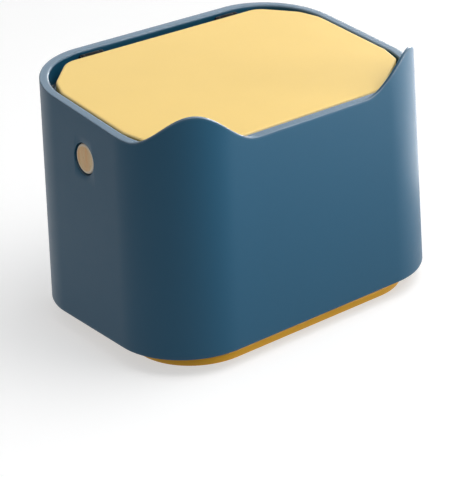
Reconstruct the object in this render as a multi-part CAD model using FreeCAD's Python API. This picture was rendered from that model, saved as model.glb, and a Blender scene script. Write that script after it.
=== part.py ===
import FreeCAD, Part
import math
import os

V = FreeCAD.Vector

# Sleeve: outer size at its bottom edge, draft of its faces and the slant of its rim
SLEEVE_WIDTH = 320.0
SLEEVE_DEPTH = 229.0
SLEEVE_HEIGHT = 208.6
CORNER_RADIUS = 69.0
SIDE_DRAFT_DEG = 2.3
FACE_DRAFT_DEG = 0.67
RIM_SLOPE_DEG = 7.125
SLEEVE_WALL = 3.2
FOOT_RISE = 16.0

# Rim land, the skirt that hangs from it and the rounding of its edges
LAND_WIDTH = 7.8
LAND_THICKNESS = 4.0
SKIRT_WALL = 2.5
SKIRT_DEPTH = 24.0
RIM_ROUND = 1.4

# Ears: raised waves in the rim at the front corners, measured along the rim
EAR_HEIGHT = 28.2
EAR_HALF_LENGTH = 59.0
EAR_PEAK_PAST_FRONT = 33.2

# Bucket
BUCKET_WALL = 2.5
BUCKET_FLOOR = 3.0
PLINTH_SIDE_INSET = 20.0
PLINTH_FACE_INSET = 14.0
PLINTH_HEIGHT = 6.0
PLINTH_STEP = 2.6
BUCKET_FLANGE_WIDTH = 2.2
BUCKET_FLANGE_THICKNESS = 3.0
BUCKET_MOUTH_GAP = 1.0
SEAT_GAP = 0.3

# Lid
LID_THICKNESS = 8.0
LID_SKIN = 3.0
LID_BORDER = 12.0
LID_LINER_THICKNESS = 3.0
LID_LINER_GAP = 0.3
LID_SIDE_GAP = 1.2
LID_FRONT_GAP = 0.6
LID_EDGE_ROUND = 1.4
LID_FRONT_ROUND = 7.0
LID_BACK_ROUND = 22.0
LID_BACK_CLIP_SHORT = (32.2, 32.2)
LID_FRONT_CLIP_SHORT = (8.2, 21.6)
LID_CLIP_LEAD = 20.0
LID_FRONT_BEND = 5.2
LID_BACK_BEND = 7.6

# Seat frame under the lid
FRAME_GAP = 0.3
FRAME_WEB = 2.5
SHELF_THICKNESS = 3.0
LEDGE_WIDTH = 7.0
LEDGE_THICKNESS = 2.5
SIDE_LEDGE_END_GAP = 1.0
FRONT_LEDGE_END_GAP = 20.6
TONGUE_WIDTH = 8.0
TONGUE_THICKNESS = 2.3
TONGUE_LENGTH = 36.0
TONGUE_GAP = 0.6
TONGUE_FROM_LEDGE_END = 6.0
TONGUE_SPACING = 40.0
BUMPER_RADIUS = 3.0
BUMPER_HEIGHT = 1.6
BUMPER_INSET = 4.0
BUMPER_GAP = 0.3
SIDE_BUMPER_FROM_END = 14.0
FRONT_BUMPER_FROM_END = 17.0

# Hinge rail across the back, its screws placed from the hinge's middle and from the mouth's back
RAIL_THICKNESS = 4.0
RAIL_DEPTH = 22.0
RAIL_SCREW_PLACES = ((-35.0, 13.5), (37.0, 19.0))

# Hinges
HINGE_FROM_SIDE = 68.8
HINGE_BASE_GAP = 2.3
HINGE_AXIS_FROM_MOUTH = 6.2
HINGE_AXIS_DROP = 4.5
HINGE_SETBACK = 5.4
KNUCKLE_RADIUS = 3.4
KNUCKLE_WIDTH = 14.0
BRACKET_EAR = 3.0
BRACKET_BASE_THICKNESS = 2.5
BRACKET_BASE_WIDTH = 42.0
BRACKET_BASE_FRONT = 8.0
BRACKET_BASE_BACK = 3.6
BRACKET_SCREW_PLACE = 15.5
LEAF_THICKNESS = 2.2
LEAF_WIDTH = 26.0
LEAF_LENGTH = 24.0
LEAF_SCREW_PLACES = (6.5, 17.5)
LEAF_SCREW_SIDE = 7.5
PIN_RADIUS = 1.5
PIN_HEAD_RADIUS = 2.6
PIN_HEAD = 1.2
PIN_RUNNING_GAP = 0.05
PIN_FIXED_GAP = 0.02
WASHER_THICKNESS = 0.6
WASHER_RADIUS = 3.1
WASHER_GAP = 0.15
CLIP_RADIUS = 2.9
CLIP_THICKNESS = 0.8

# Countersunk screws
SCREW_SHANK = 1.4
SCREW_HEAD = 2.8
SCREW_HEAD_DEPTH = 1.4
SCREW_THREAD_GAP = 0.05
SCREW_HOLE_GAP = 0.2
SCREW_SLOT_WIDTH = 0.8
SCREW_SLOT_LENGTH = 3.0
SCREW_SLOT_DEPTH = 0.9
SCREW_TIP_COVER = 0.5
FRAME_SCREW_LENGTH = 7.0
FRAME_SCREW_FROM_SIDE_ENDS = (26.0, 12.0)
FRAME_SCREW_FROM_FRONT_END = 17.0
LEAF_SCREW_COVER = 2.2
BOSS_RADIUS = 4.2
LID_BOSS_RADIUS = 3.5

# Wooden side buttons
KNOB_RADIUS = 12.9
KNOB_EDGE = 1.8
KNOB_THICKNESS = 3.0
KNOB_FACE_RADIUS = 11.4
KNOB_SEAT_GAP = 1.2
KNOB_SEAT_DEPTH = 4.2
KNOB_SEAT_FLOOR = 1.6
KNOB_SEAT_WALL = 2.0
KNOB_STEM_RADIUS = 6.0
KNOB_STEM_GAP = 0.2
KNOB_STEM_SHORT = 0.2
KNOB_SKIRT_GAP = 5.4
KNOB_WASHER_RADIUS = 9.0
KNOB_WASHER_THICKNESS = 1.0
KNOB_SCREW_HEAD = 4.0
KNOB_SCREW_HEAD_HEIGHT = 1.6
KNOB_SCREW_SHANK = 1.6
KNOB_SCREW_DEPTH = 3.2

# Sizes that follow from the ones above
SIDE_TAPER = math.tan(math.radians(SIDE_DRAFT_DEG))
FACE_TAPER = math.tan(math.radians(FACE_DRAFT_DEG))
SLOPE_SIN = math.sin(math.radians(RIM_SLOPE_DEG))
SLOPE_COS = math.cos(math.radians(RIM_SLOPE_DEG))
SLOPE_TAN = math.tan(math.radians(RIM_SLOPE_DEG))
REACH = SLEEVE_WIDTH + SLEEVE_DEPTH + SLEEVE_HEIGHT


def half_width(height):
    """Half the sleeve's outer width at a height above its bottom edge."""
    return SLEEVE_WIDTH / 2 - SIDE_TAPER * height


def half_depth(height):
    """Half the sleeve's outer depth at a height above its bottom edge."""
    return SLEEVE_DEPTH / 2 - FACE_TAPER * height


RIM_MIDDLE = FOOT_RISE + SLEEVE_HEIGHT - SLOPE_TAN * half_depth(SLEEVE_HEIGHT)
MOUTH_HALF_WIDTH = half_width(SLEEVE_HEIGHT) - LAND_WIDTH
MOUTH_HALF_DEPTH = half_depth(SLEEVE_HEIGHT) - LAND_WIDTH
MOUTH_RADIUS = CORNER_RADIUS - LAND_WIDTH
HINGE_PLACE = MOUTH_HALF_WIDTH - HINGE_FROM_SIDE
KNOB_DROP = SKIRT_DEPTH / SLOPE_COS + KNOB_SKIRT_GAP + KNOB_WASHER_RADIUS
KNOB_HEIGHT = RIM_MIDDLE - FOOT_RISE - KNOB_DROP
KNOB_SEAT_RADIUS = KNOB_RADIUS + KNOB_SEAT_GAP
KNOB_SEAT_BACK = -KNOB_SEAT_DEPTH - KNOB_SEAT_FLOOR
KNOB_STEM_END = KNOB_SEAT_BACK + KNOB_STEM_SHORT
SIDE_LEDGE_HALF_LENGTH = MOUTH_HALF_DEPTH - MOUTH_RADIUS - SIDE_LEDGE_END_GAP
FRONT_LEDGE_HALF_LENGTH = MOUTH_HALF_WIDTH - MOUTH_RADIUS - FRONT_LEDGE_END_GAP
TILT = FreeCAD.Placement(V(0, 0, RIM_MIDDLE), FreeCAD.Rotation(V(1, 0, 0), RIM_SLOPE_DEG))

# Places in the rim's own tilted frame: x across, v up the slope to the back, w out of the rim plane
MOUTH_BACK = MOUTH_HALF_DEPTH / SLOPE_COS
HINGE_V = MOUTH_BACK - HINGE_AXIS_FROM_MOUTH
HINGE_W = -HINGE_AXIS_DROP
LID_HALF_WIDTH = MOUTH_HALF_WIDTH - LID_SIDE_GAP
LID_FRONT = -(MOUTH_HALF_DEPTH - LID_FRONT_GAP) / SLOPE_COS
LID_BACK = HINGE_V - HINGE_SETBACK
LID_BACK_CLIP = [MOUTH_RADIUS - short for short in LID_BACK_CLIP_SHORT]
LID_FRONT_CLIP = [MOUTH_RADIUS - short for short in LID_FRONT_CLIP_SHORT]
LEDGE_TOP = -(LID_THICKNESS + BUMPER_HEIGHT + BUMPER_GAP)
RAIL_TOP = LID_THICKNESS + LEAF_THICKNESS + HINGE_BASE_GAP + BRACKET_BASE_THICKNESS
RAIL_BOTTOM = RAIL_TOP + RAIL_THICKNESS
FRAME_BOTTOM = RAIL_BOTTOM + SHELF_THICKNESS
FRAME_SCREW_DROP = (FRAME_BOTTOM - LEDGE_TOP + LEDGE_THICKNESS) / 2
TONGUE_PLACES = [TONGUE_FROM_LEDGE_END - SIDE_LEDGE_HALF_LENGTH]
TONGUE_PLACES.append(TONGUE_PLACES[0] + TONGUE_SPACING)
EAR_OUTSIDE = KNUCKLE_WIDTH / 2 + 2 * WASHER_GAP + WASHER_THICKNESS + BRACKET_EAR
SCREW_HOLE = SCREW_SHANK + SCREW_HOLE_GAP
SCREW_PILOT = SCREW_SHANK + SCREW_THREAD_GAP
RAIL_SCREW_LENGTH = RAIL_THICKNESS + SHELF_THICKNESS - SCREW_TIP_COVER
BRACKET_SCREW_LENGTH = BRACKET_BASE_THICKNESS + RAIL_THICKNESS - SCREW_TIP_COVER
LEAF_SCREW_LENGTH = LEAF_THICKNESS + LID_THICKNESS - LEAF_SCREW_COVER


def tilted(shape):
    """Carry a shape from the rim's tilted frame to its place."""
    shape.Placement = TILT.multiply(shape.Placement)
    return shape


def rounded_rectangle(half_w, half_d, radius, z):
    """Closed outline of a rectangle with round corners, centred on the Z axis."""
    edges = []
    inner_w = half_w - radius
    inner_d = half_d - radius
    corners = ((inner_w, -inner_d), (inner_w, inner_d), (-inner_w, inner_d), (-inner_w, -inner_d))
    start_angles = (-90, 0, 90, 180)
    arcs = []
    for (cx, cy), start in zip(corners, start_angles):
        points = []
        for turn in (0, 45, 90):
            angle = math.radians(start + turn)
            points.append(V(cx + radius * math.cos(angle), cy + radius * math.sin(angle), z))
        arcs.append(points)
    for index, points in enumerate(arcs):
        edges.append(Part.Arc(*points).toShape())
        edges.append(Part.LineSegment(points[2], arcs[(index + 1) % 4][0]).toShape())
    return Part.Wire(edges)


def prism(half_w, half_d, radius, z_low, z_high):
    """Upright block with round corners."""
    base = Part.Face(rounded_rectangle(half_w, half_d, radius, z_low))
    return base.extrude(V(0, 0, z_high - z_low))


def tapered_block(lower, upper):
    """Solid between two round-cornered outlines, each (half width, half depth, radius, z)."""
    return Part.makeLoft([rounded_rectangle(*lower), rounded_rectangle(*upper)], True, True)


def box(x_low, x_high, y_low, y_high, z_low, z_high):
    return Part.makeBox(x_high - x_low, y_high - y_low, z_high - z_low, V(x_low, y_low, z_low))


def slab(w_low, w_high):
    """Slice of space between two planes parallel to the rim."""
    return tilted(box(-REACH, REACH, -REACH, REACH, w_low, w_high))


def mouth_block(inset):
    """Upright block filling the mouth, smaller by an inset all round."""
    sizes = (MOUTH_HALF_WIDTH - inset, MOUTH_HALF_DEPTH - inset, MOUTH_RADIUS - inset)
    return prism(*sizes, 0, REACH)


def sleeve_block(inset, z_low, z_high):
    """Drafted block of the sleeve's outside, smaller by an inset all round."""
    ends = []
    for z in (z_low, z_high):
        height = z - FOOT_RISE
        ends.append((half_width(height) - inset, half_depth(height) - inset, CORNER_RADIUS - inset, z))
    return tapered_block(*ends)


def rounded_polygon(corners):
    """Closed outline in the XY plane through corners, each rounded by an arc of its own radius."""
    edges = []
    count = len(corners)
    trimmed = []
    for index, (x, y, radius) in enumerate(corners):
        corner = V(x, y, 0)
        before = V(*corners[index - 1][:2], 0) - corner
        after = V(*corners[(index + 1) % count][:2], 0) - corner
        before.normalize()
        after.normalize()
        half_angle = before.getAngle(after) / 2
        along = radius / math.tan(half_angle)
        bisector = before + after
        bisector.normalize()
        middle = corner + bisector * (radius / math.sin(half_angle) - radius)
        trimmed.append((corner + before * along, middle, corner + after * along))
    for index, (start, middle, end) in enumerate(trimmed):
        edges.append(Part.Arc(start, middle, end).toShape())
        edges.append(Part.LineSegment(end, trimmed[(index + 1) % count][0]).toShape())
    return Part.Wire(edges)


def join(shapes):
    """One solid from overlapping solids."""
    return shapes[0].multiFuse(shapes[1:]).removeSplitter()


def along_axis(shape, position, direction):
    """Place a shape made along +Z at the origin so that its Z axis follows a direction."""
    shape.Placement = FreeCAD.Placement(position, FreeCAD.Rotation(V(0, 0, 1), direction))
    return shape


def screw(length):
    """Countersunk screw: its flat head at the origin, its shank along +Z."""
    head = Part.makeCone(SCREW_HEAD, SCREW_SHANK, SCREW_HEAD_DEPTH)
    shank = Part.makeCylinder(SCREW_SHANK, length - SCREW_SHANK)
    tip = Part.makeCone(SCREW_SHANK, SCREW_SHANK / 3, SCREW_SHANK, V(0, 0, length - SCREW_SHANK))
    body = join([head, shank, tip])
    half_l = SCREW_SLOT_LENGTH / 2
    half_w = SCREW_SLOT_WIDTH / 2
    slots = box(-half_l, half_l, -half_w, half_w, 0, SCREW_SLOT_DEPTH)
    slots = slots.fuse(box(-half_w, half_w, -half_l, half_l, 0, SCREW_SLOT_DEPTH))
    return body.cut(slots)


def screw_hole(depth):
    """Cutter for a countersunk clearance hole, its mouth at the origin, going along +Z."""
    wide = SCREW_HEAD + SCREW_HOLE_GAP
    head = Part.makeCone(wide, SCREW_HOLE, SCREW_HEAD_DEPTH)
    return head.fuse(Part.makeCylinder(SCREW_HOLE, depth))


def pilot_hole(depth):
    return Part.makeCylinder(SCREW_PILOT, depth)


def ear_curve(offset, height):
    """Wave over the rim's right front corner, an offset outside the wall, in the tilted frame."""
    level = SLEEVE_HEIGHT - 2 * SLOPE_TAN * half_depth(SLEEVE_HEIGHT)
    centre_x = half_width(level) - CORNER_RADIUS
    centre_y = CORNER_RADIUS - half_depth(level)
    radius = CORNER_RADIUS + offset
    steps = 10
    points = []
    for step in range(-steps, steps + 1):
        share = step / steps
        run = EAR_PEAK_PAST_FRONT + EAR_HALF_LENGTH * share
        angle = max(run, 0) / CORNER_RADIUS
        x = centre_x + min(run, 0) + radius * math.sin(angle)
        y = centre_y - radius * math.cos(angle)
        rise = height / 2 * (1 + math.cos(math.pi * share))
        points.append(V(x, y / SLOPE_COS + rise * SLOPE_SIN, rise * SLOPE_COS))
    last = V(math.cos(angle), math.sin(angle) / SLOPE_COS, 0)
    curve = Part.BSplineCurve()
    curve.interpolate(Points=points, InitialTangent=V(1, 0, 0), FinalTangent=last)
    return curve.toShape()


def ear_cutters(height, rise):
    """Solids above the two ear waves of a height, each a band that covers the wall."""
    wave = Part.makeRuledSurface(ear_curve(LAND_WIDTH, height), ear_curve(-2 * LAND_WIDTH, height))
    right = wave.extrude(V(0, 0, rise))
    return [right, right.mirror(V(0, 0, 0), V(1, 0, 0))]


def above_rim():
    """Solids that trim the sleeve: all above the rim plane, and above the wave at each ear."""
    flat = box(-REACH, REACH, -REACH, REACH, 0, REACH)
    for band in ear_cutters(0, 2 * REACH):
        flat = flat.cut(band)
    return [tilted(solid) for solid in [flat] + ear_cutters(EAR_HEIGHT, REACH)]


def line(start, end):
    return Part.LineSegment(start, end).toShape()


def frame_screw_places():
    """Point on the frame's inner face and outward direction of each frame screw."""
    places = []
    inset = FRAME_GAP + FRAME_WEB
    for side in (-1, 1):
        for end, from_end in zip((-1, 1), FRAME_SCREW_FROM_SIDE_ENDS):
            v = end * (SIDE_LEDGE_HALF_LENGTH - from_end)
            point = TILT.multVec(V(0, v, -FRAME_SCREW_DROP))
            point.x = side * (MOUTH_HALF_WIDTH - inset)
            places.append((point, V(side, 0, 0)))
    for side in (-1, 1):
        point = TILT.multVec(V(0, LID_FRONT, -FRAME_SCREW_DROP))
        point.x = side * (FRONT_LEDGE_HALF_LENGTH - FRAME_SCREW_FROM_FRONT_END)
        point.y = inset - MOUTH_HALF_DEPTH
        places.append((point, V(0, -1, 0)))
    return places


def knob_places():
    """Centre on the sleeve's outside and outward direction of each wooden button."""
    tilt = math.radians(SIDE_DRAFT_DEG)
    for name, side in (("left", -1), ("right", 1)):
        point = V(side * half_width(KNOB_HEIGHT), 0, FOOT_RISE + KNOB_HEIGHT)
        yield name, point, V(side * math.cos(tilt), 0, math.sin(tilt))


def mouth_edges(shell, mouth):
    """Edges where the rim land meets the mouth."""
    found = []
    for edge in shell.Edges:
        middle = edge.valueAt((edge.FirstParameter + edge.LastParameter) / 2)
        if abs(TILT.inverse().multVec(middle).z) < 1e-3 and mouth.isInside(middle, 1e-3, True):
            found.append(edge)
    return found


def make_outer_shell():
    top = FOOT_RISE + SLEEVE_HEIGHT + EAR_HEIGHT
    wall = sleeve_block(0, FOOT_RISE, top).cut(sleeve_block(SLEEVE_WALL, FOOT_RISE - 1, top + 1))
    for cutter in above_rim():
        wall = wall.cut(cutter)
    mouth = mouth_block(0)
    core = sleeve_block(SLEEVE_WALL / 2, FOOT_RISE, top)
    land = core.common(slab(-LAND_THICKNESS, 0)).cut(mouth)
    skirt = mouth_block(-SKIRT_WALL).common(slab(-SKIRT_DEPTH, -LAND_THICKNESS / 2)).cut(mouth)
    pieces = [wall, land, skirt]
    cutters = []
    for point, direction in frame_screw_places():
        height = point.z - FOOT_RISE
        if direction.x:
            wall_middle = half_width(height) - SLEEVE_WALL / 2 - abs(point.x)
        else:
            wall_middle = half_depth(height) - SLEEVE_WALL / 2 - abs(point.y)
        start = FRAME_GAP + FRAME_WEB + SKIRT_WALL / 2
        boss = Part.makeCylinder(BOSS_RADIUS, wall_middle - start, V(0, 0, start))
        pieces.append(along_axis(boss, point, direction))
        cutters.append(along_axis(pilot_hole(FRAME_SCREW_LENGTH), point, direction))
    for name, point, direction in knob_places():
        cup_back = V(0, 0, KNOB_SEAT_BACK)
        cup_depth = -SLEEVE_WALL / 2 - KNOB_SEAT_BACK
        cup = Part.makeCylinder(KNOB_SEAT_RADIUS + KNOB_SEAT_WALL, cup_depth, cup_back)
        pieces.append(along_axis(cup, point, direction))
        seat = Part.makeCylinder(KNOB_SEAT_RADIUS, 2 * KNOB_SEAT_DEPTH, V(0, 0, -KNOB_SEAT_DEPTH))
        bore = Part.makeCylinder(KNOB_STEM_RADIUS + KNOB_STEM_GAP, 2 * KNOB_SEAT_DEPTH, 2 * cup_back)
        cutters.append(along_axis(seat, point, direction))
        cutters.append(along_axis(bore, point, direction))
    shell = join(pieces)
    shell = shell.makeFillet(RIM_ROUND, mouth_edges(shell, mouth))
    return shell.cut(Part.makeCompound(cutters))


def inset(sizes, amount):
    """Half width, half depth and corner radius of an outline moved inward all round."""
    return tuple(size - amount for size in sizes)


def bucket_inside(z):
    """Half the bucket's inner width at a height."""
    share = z / (FOOT_RISE + SLEEVE_HEIGHT)
    return BUCKET_LOW[0] + (BUCKET_HIGH[0] - BUCKET_LOW[0]) * share - BUCKET_WALL


BUCKET_RIM = inset((MOUTH_HALF_WIDTH, MOUTH_HALF_DEPTH, MOUTH_RADIUS), BUCKET_MOUTH_GAP)
BUCKET_HIGH = inset(BUCKET_RIM, BUCKET_FLANGE_WIDTH)
PLINTH = (SLEEVE_WIDTH / 2 - PLINTH_SIDE_INSET, SLEEVE_DEPTH / 2 - PLINTH_FACE_INSET, BUCKET_HIGH[2])
BUCKET_LOW = inset(PLINTH, PLINTH_STEP)


def make_inner_bucket():
    top = FOOT_RISE + SLEEVE_HEIGHT
    rim = -(FRAME_BOTTOM + SEAT_GAP)
    body = tapered_block((*BUCKET_LOW, 0), (*BUCKET_HIGH, top)).common(slab(-REACH, rim))
    plinth = prism(*PLINTH, 0, PLINTH_HEIGHT)
    collar = tapered_block((*PLINTH, PLINTH_HEIGHT), (*BUCKET_LOW, PLINTH_HEIGHT + PLINTH_STEP))
    flange = prism(*BUCKET_RIM, 0, top).common(slab(rim - BUCKET_FLANGE_THICKNESS, rim))
    hollow_low = inset(BUCKET_LOW, BUCKET_WALL)
    hollow_high = inset(BUCKET_HIGH, BUCKET_WALL)
    hollow = tapered_block((*hollow_low, BUCKET_FLOOR), (*hollow_high, top))
    return join([body, plinth, collar, flange]).cut(hollow)


def make_seat_frame():
    outer = mouth_block(FRAME_GAP)
    ring = outer.cut(mouth_block(FRAME_GAP + FRAME_WEB))
    rail_front = MOUTH_HALF_DEPTH - FRAME_GAP - FRAME_WEB - RAIL_DEPTH
    fore = box(-REACH, REACH, -REACH, rail_front, 0, REACH)
    aft = box(-REACH, REACH, rail_front - FRAME_WEB, REACH, 0, REACH)
    web = ring.common(slab(-FRAME_BOTTOM, LEDGE_TOP)).common(fore)
    back_web = ring.common(slab(-FRAME_BOTTOM, -RAIL_TOP - FRAME_GAP)).common(aft)
    shelf = outer.common(slab(-FRAME_BOTTOM, -RAIL_BOTTOM)).common(aft)
    band = outer.cut(mouth_block(FRAME_GAP + LEDGE_WIDTH))
    band = band.common(slab(LEDGE_TOP - LEDGE_THICKNESS, LEDGE_TOP))
    side_half, front_half = SIDE_LEDGE_HALF_LENGTH, FRONT_LEDGE_HALF_LENGTH
    side_ledges = band.common(box(-REACH, REACH, -side_half, side_half, 0, REACH))
    front_ledge = band.common(box(-front_half, front_half, -REACH, 0, 0, REACH))
    pieces = [web, back_web, shelf, side_ledges, front_ledge]
    for v in TONGUE_PLACES:
        low = LEDGE_TOP - TONGUE_LENGTH
        outside = bucket_inside(TILT.multVec(V(0, v, low)).z) - TONGUE_GAP
        for side in (-1, 1):
            strip = sorted((side * outside, side * (outside - TONGUE_THICKNESS)))
            web_face = MOUTH_HALF_WIDTH - FRAME_GAP - FRAME_WEB
            arm = sorted((side * web_face, side * (outside - TONGUE_THICKNESS)))
            across = (v - TONGUE_WIDTH / 2, v + TONGUE_WIDTH / 2)
            pieces.append(tilted(box(*strip, *across, low, LEDGE_TOP)))
            pieces.append(tilted(box(*arm, *across, LEDGE_TOP - LEDGE_THICKNESS, LEDGE_TOP)))
    frame = join(pieces)
    cutters = []
    for point, direction in frame_screw_places():
        cutters.append(along_axis(screw_hole(2 * FRAME_WEB), point, direction))
    for position in rail_screw_places():
        cutters.append(tilted(along_axis(pilot_hole(2 * RAIL_SCREW_LENGTH), position, V(0, 0, -1))))
    return frame.cut(Part.makeCompound(cutters))


def rail_screw_places():
    """Places of the rail's screws on its top face, in the rim's tilted frame."""
    places = []
    for side in (-1, 1):
        for shift, from_mouth in RAIL_SCREW_PLACES:
            places.append(V(side * (HINGE_PLACE + shift), MOUTH_BACK - from_mouth, -RAIL_TOP))
    return places


def bracket_screw_places():
    places = []
    for side in (-1, 1):
        for shift in (-BRACKET_SCREW_PLACE, BRACKET_SCREW_PLACE):
            x = side * HINGE_PLACE + shift
            middle = HINGE_V + (BRACKET_BASE_BACK - BRACKET_BASE_FRONT) / 2
            places.append(V(x, middle, BRACKET_BASE_THICKNESS - RAIL_TOP))
    return places


def leaf_screw_places():
    places = []
    low = -LID_THICKNESS - LEAF_THICKNESS
    for side in (-1, 1):
        for back in LEAF_SCREW_PLACES:
            for shift in (-LEAF_SCREW_SIDE, LEAF_SCREW_SIDE):
                places.append(V(side * HINGE_PLACE + shift, LID_BACK - back, low))
    return places


def make_hinge_rail():
    inset = 2 * FRAME_GAP + FRAME_WEB
    front = MOUTH_HALF_DEPTH - FRAME_GAP - FRAME_WEB - RAIL_DEPTH
    rail = mouth_block(inset).common(slab(-RAIL_BOTTOM, -RAIL_TOP))
    rail = rail.common(box(-REACH, REACH, front, REACH, 0, REACH))
    cutters = []
    for position in rail_screw_places():
        cutters.append(tilted(along_axis(screw_hole(2 * RAIL_THICKNESS), position, V(0, 0, -1))))
    for position in bracket_screw_places():
        cutters.append(tilted(along_axis(pilot_hole(BRACKET_SCREW_LENGTH), position, V(0, 0, -1))))
    return rail.cut(Part.makeCompound(cutters))


def make_hinge_bracket(side):
    """Fixed half of a hinge: a base on the rail with two ears that hold the pin."""
    x = side * HINGE_PLACE
    base_top = BRACKET_BASE_THICKNESS - RAIL_TOP
    half = BRACKET_BASE_WIDTH / 2
    front = HINGE_V - BRACKET_BASE_FRONT
    pieces = [box(x - half, x + half, front, HINGE_V + BRACKET_BASE_BACK, -RAIL_TOP, base_top)]
    for ear in (-1, 1):
        inner = EAR_OUTSIDE - BRACKET_EAR
        xs = sorted((x + ear * inner, x + ear * EAR_OUTSIDE))
        pieces.append(box(*xs, HINGE_V - KNUCKLE_RADIUS, HINGE_V + KNUCKLE_RADIUS, -RAIL_TOP, HINGE_W))
        start = V(xs[0], HINGE_V, HINGE_W)
        pieces.append(Part.makeCylinder(KNUCKLE_RADIUS, BRACKET_EAR, start, V(1, 0, 0)))
    bracket = join(pieces)
    start = V(x - 2 * EAR_OUTSIDE, HINGE_V, HINGE_W)
    cutters = [Part.makeCylinder(PIN_RADIUS + PIN_FIXED_GAP, 4 * EAR_OUTSIDE, start, V(1, 0, 0))]
    for position in bracket_screw_places():
        cutters.append(along_axis(screw_hole(2 * BRACKET_BASE_THICKNESS), position, V(0, 0, -1)))
    return tilted(bracket.cut(Part.makeCompound(cutters))).common(mouth_block(FRAME_GAP))


def make_hinge_leaf(side):
    """Moving half of a hinge: a plate under the lid with a knuckle round the pin."""
    x = side * HINGE_PLACE
    low = -LID_THICKNESS - LEAF_THICKNESS
    half = LEAF_WIDTH / 2
    knuckle = KNUCKLE_WIDTH / 2
    neck_front = LID_BACK + (HINGE_SETBACK - KNUCKLE_RADIUS)
    pieces = [
        box(x - half, x + half, LID_BACK - LEAF_LENGTH, LID_BACK, low, -LID_THICKNESS),
        box(x - knuckle, x + knuckle, LID_BACK - KNUCKLE_RADIUS, HINGE_V, low, -LID_THICKNESS),
        box(x - knuckle, x + knuckle, neck_front, HINGE_V, low, HINGE_W),
        Part.makeCylinder(KNUCKLE_RADIUS, KNUCKLE_WIDTH, V(x - knuckle, HINGE_V, HINGE_W), V(1, 0, 0)),
    ]
    start = V(x - KNUCKLE_WIDTH, HINGE_V, HINGE_W)
    cutters = [Part.makeCylinder(PIN_RADIUS + PIN_RUNNING_GAP, 2 * KNUCKLE_WIDTH, start, V(1, 0, 0))]
    for position in leaf_screw_places():
        cutters.append(along_axis(screw_hole(2 * LEAF_THICKNESS), position, V(0, 0, 1)))
    return tilted(join(pieces).cut(Part.makeCompound(cutters)))


def make_hinge_pin(side):
    """Steel pin, its head on the outer ear, its tail past the inner ear by the clip's thickness."""
    x = side * HINGE_PLACE
    axis = V(side, 0, 0)
    tail = EAR_OUTSIDE + 2 * CLIP_THICKNESS
    start = V(x - side * tail, HINGE_V, HINGE_W)
    shaft = Part.makeCylinder(PIN_RADIUS, tail + EAR_OUTSIDE + PIN_HEAD, start, axis)
    seat = V(x + side * EAR_OUTSIDE, HINGE_V, HINGE_W)
    head = Part.makeCylinder(PIN_HEAD_RADIUS, PIN_HEAD, seat, axis)
    return tilted(join([shaft, head]))


def ring_on_pin(x, outer, thickness, gap):
    """Flat ring round the hinge axis, centred at x."""
    start = V(x - thickness / 2, HINGE_V, HINGE_W)
    ring = Part.makeCylinder(outer, thickness, start, V(1, 0, 0))
    return ring.cut(Part.makeCylinder(PIN_RADIUS + gap, thickness, start, V(1, 0, 0)))


def make_pin_clips():
    clips = []
    for side in (-1, 1):
        x = side * (HINGE_PLACE - EAR_OUTSIDE - CLIP_THICKNESS / 2)
        clips.append(tilted(ring_on_pin(x, CLIP_RADIUS, CLIP_THICKNESS, PIN_FIXED_GAP)))
    return Part.makeCompound(clips)


def make_friction_washers():
    washers = []
    from_middle = KNUCKLE_WIDTH / 2 + WASHER_GAP + WASHER_THICKNESS / 2
    for side in (-1, 1):
        for end in (-1, 1):
            x = side * HINGE_PLACE + end * from_middle
            washers.append(tilted(ring_on_pin(x, WASHER_RADIUS, WASHER_THICKNESS, PIN_RUNNING_GAP)))
    return Part.makeCompound(washers)


def lid_outline(inset):
    """Lid outline in the rim plane: straight sides that bend into a clip at each corner.

    Each corner is given with the radius that rounds it.
    """
    half = LID_HALF_WIDTH - inset
    right = []
    front = (-1, LID_FRONT + inset, LID_FRONT_BEND, LID_FRONT_CLIP, LID_FRONT_ROUND)
    back = (1, LID_BACK - inset, LID_BACK_BEND, LID_BACK_CLIP, LID_BACK_ROUND)
    for end, reach, bend, (across, along), radius in (front, back):
        bend_x = half - bend
        points = [(bend_x - across, reach, radius), (bend_x, reach - end * along, radius)]
        points.append((half, reach - end * (along + LID_CLIP_LEAD), radius))
        right += points if end < 0 else points[::-1]
    return right + [(-x, v, radius) for x, v, radius in reversed(right)]


def lid_block(inset, w_low, w_high):
    outline = rounded_polygon(lid_outline(inset))
    outline.translate(V(0, 0, w_low))
    return Part.Face(outline).extrude(V(0, 0, w_high - w_low))


def make_lid_panel():
    panel = lid_block(0, -LID_THICKNESS, 0)
    top_edges = [e for e in panel.Edges if abs(e.BoundBox.ZMin) < 1e-6 and abs(e.BoundBox.ZMax) < 1e-6]
    panel = panel.makeFillet(LID_EDGE_ROUND, top_edges)
    panel = panel.cut(lid_block(LID_BORDER, -LID_THICKNESS, -LID_SKIN))
    liner_top = LID_LINER_THICKNESS - LID_THICKNESS
    pilots, bosses = [], []
    for position in leaf_screw_places():
        pilots.append(along_axis(pilot_hole(LEAF_SCREW_LENGTH), position, V(0, 0, 1)))
        if position.y < LID_BACK - LID_BORDER:
            height = -LID_SKIN / 2 - liner_top
            foot = V(position.x, position.y, liner_top)
            bosses.append(Part.makeCylinder(LID_BOSS_RADIUS, height, foot))
    return tilted(join([panel] + bosses).cut(Part.makeCompound(pilots)))


def make_lid_liner():
    liner = lid_block(LID_BORDER + LID_LINER_GAP, -LID_THICKNESS, LID_LINER_THICKNESS - LID_THICKNESS)
    holes = []
    for position in leaf_screw_places():
        holes.append(along_axis(Part.makeCylinder(SCREW_HOLE, LEAF_SCREW_LENGTH), position, V(0, 0, 1)))
    return tilted(liner.cut(Part.makeCompound(holes)))


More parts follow.
